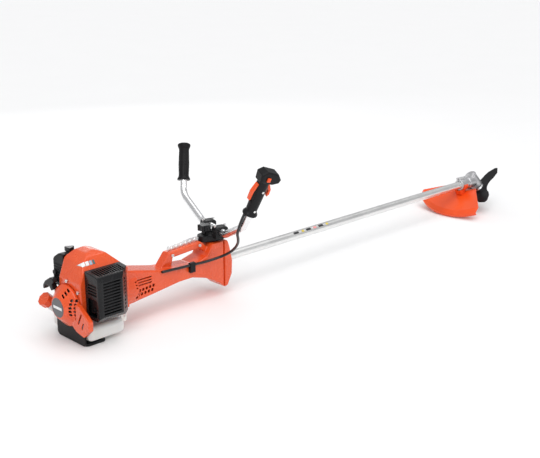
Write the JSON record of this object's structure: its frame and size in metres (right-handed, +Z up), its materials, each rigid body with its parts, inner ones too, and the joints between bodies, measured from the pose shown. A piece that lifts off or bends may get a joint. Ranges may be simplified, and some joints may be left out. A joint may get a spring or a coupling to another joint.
{
  "type": "brush cutter",
  "caption": "Shaft-type petrol brush cutter with rear engine, two-hand bar, straight tube, tilted gear head, toothed steel blade and blade guard.",
  "frame": {"origin": "middle of the engine foot's underside, on the ground", "axes": "+X along the shaft tube towards the cutting head, +Y to the machine's left, +Z up"},
  "size_m": [1.9922, 0.5371, 0.4405],
  "materials": {
    "orange_plastic": "semi-gloss moulded",
    "black_plastic": "textured moulded",
    "grey_plastic": "satin moulded",
    "tank_plastic": "translucent milky",
    "tube_aluminium": "satin anodised",
    "cast_aluminium": "die-cast",
    "bright_steel": "machined",
    "black_steel": "satin black paint",
    "cast_iron_dark": "as cast",
    "black_rubber": "matt",
    "bronze": "sintered",
    "white_ceramic": "glazed",
    "filter_foam": "open foam",
    "rope_white": "braided"
  },
  "bodies": {
    "machine": {"air_cleaner_cover": "black_plastic", "air_filter": "filter_foam", "blade_guard": "orange_plastic", "cable_clip": "black_plastic", "carburetor": "cast_aluminium", "connecting_rod": "bright_steel", "crankcase": "cast_aluminium", "cylinder": "cast_aluminium", "engine_cover": "orange_plastic", "engine_foot": "black_plastic", "front_flange": "orange_plastic", "fuel_tank": "tank_plastic", "gear_case": "cast_aluminium", "gear_case_cap": "cast_aluminium", "guard_bracket": "orange_plastic", "handle_base": "black_steel", "hanger_rail": "bright_steel", "head_bearings": "bright_steel", "ignition_coil": "black_plastic", "machine_screws": "bright_steel", "main_tube": "tube_aluminium", "muffler": "black_steel", "muffler_guard": "black_plastic", "piston": "cast_aluminium", "rear_casing": "orange_plastic", "shaft_bearings": "bright_steel", "shaft_bushes": "bronze", "spark_plug": "white_ceramic", "starter_cover": "orange_plastic", "starter_emblem": "grey_plastic", "throttle_cable": "black_rubber"},
    "crank": {"crankshaft": "bright_steel", "flywheel": "cast_aluminium", "clutch_shoes": "cast_iron_dark"},
    "recoil": {"starter_pulley": "black_plastic"},
    "pull": {"starter_grip": "black_plastic", "starter_rope_lead": "rope_white"},
    "filler_cap": {"fuel_cap": "orange_plastic"},
    "cleaner_knob": {"air_cleaner_knob": "black_plastic"},
    "choke": {"choke_lever": "black_plastic"},
    "bars": {"handle_mount": "black_steel", "handle_clamp": "black_steel", "clamp_bolts": "bright_steel", "handlebar": "tube_aluminium", "left_grip": "black_rubber", "throttle_grip": "black_plastic", "grip_screws": "bright_steel"},
    "bar_knob": {"mount_knob": "black_plastic"},
    "trigger": {"throttle_trigger": "orange_plastic"},
    "lockout": {"throttle_lockout": "orange_plastic"},
    "switch": {"stop_switch": "orange_plastic"},
    "drive": {"clutch_drum": "black_steel", "drive_shaft": "bright_steel", "pinion_gear": "bright_steel"},
    "output": {"output_shaft": "bright_steel", "bevel_gear": "bright_steel", "thrust_plate": "bright_steel", "blade": "black_steel", "blade_cup": "bright_steel", "blade_nut": "bright_steel"}
  },
  "joints": [
    {"name": "crank_turn", "type": "hinge", "parent": "machine", "child": "crank", "pos_m": [0, 0, 0.104], "axis": [1, 0, 0], "continuous": true},
    {"name": "starter_pull", "type": "slide", "parent": "machine", "child": "pull", "axis": [0, 0.5, 0.866], "range_m": [0, 0.9], "stiffness_N_per_m": 6, "springref_m": -0.6},
    {"name": "recoil_turn", "type": "hinge", "parent": "machine", "child": "recoil", "pos_m": [0, 0, 0.104], "axis": [1, 0, 0], "range_deg": [0, 1725]},
    {"name": "cap_turn", "type": "hinge", "parent": "machine", "child": "filler_cap", "pos_m": [0.008, 0.088, 0.0426], "axis": [-0.7431, 0, 0.6691], "range_deg": [0, 450]},
    {"name": "cleaner_knob_turn", "type": "hinge", "parent": "machine", "child": "cleaner_knob", "pos_m": [0.01, 0.054, 0.229], "axis": [0, 0, 1], "range_deg": [0, 1440]},
    {"name": "choke_turn", "type": "hinge", "parent": "machine", "child": "choke", "pos_m": [-0.0269, 0.078, 0.172], "axis": [1, 0, 0], "range_deg": [0, 55]},
    {"name": "bar_swivel", "type": "hinge", "parent": "machine", "child": "bars", "pos_m": [0.462, 0, 0.18], "axis": [0, 0, 1], "range_deg": [-70, 14], "deforming": ["throttle_cable"]},
    {"name": "bar_knob_turn", "type": "hinge", "parent": "bars", "child": "bar_knob", "pos_m": [0.438, 0, 0.205], "axis": [0, 0, 1], "range_deg": [0, 1080]},
    {"name": "trigger_squeeze", "type": "hinge", "parent": "bars", "child": "trigger", "pos_m": [0.45418, -0.24918, 0.3898], "axis": [0.2328, 0.9003, 0.3679], "range_deg": [0, 12], "stiffness_Nm_per_rad": 0.6, "springref_deg": -8.59},
    {"name": "lockout_press", "type": "hinge", "parent": "bars", "child": "lockout", "pos_m": [0.42014, -0.24239, 0.39471], "axis": [-0.2328, -0.9003, -0.3679], "range_deg": [0, 8], "stiffness_Nm_per_rad": 0.4, "springref_deg": -8.59},
    {"name": "switch_slide", "type": "slide", "parent": "bars", "child": "switch", "axis": [0.1102, -0.4003, 0.9098], "range_m": [0, 0.005]},
    {"name": "output_turn", "type": "hinge", "parent": "machine", "child": "output", "pos_m": [1.808, 0, 0.104], "axis": [-0.5446, 0.2592, 0.7976], "continuous": true},
    {"name": "drive_turn", "type": "hinge", "parent": "machine", "child": "drive", "pos_m": [0.5, 0, 0.104], "axis": [1, 0, 0], "continuous": true}
  ],
  "couplings": [
    {"joint": "recoil_turn", "follows": "starter_pull", "rad_per_m": 33.333},
    {"joint": "drive_turn", "follows": "output_turn", "ratio": 1.5385}
  ]
}
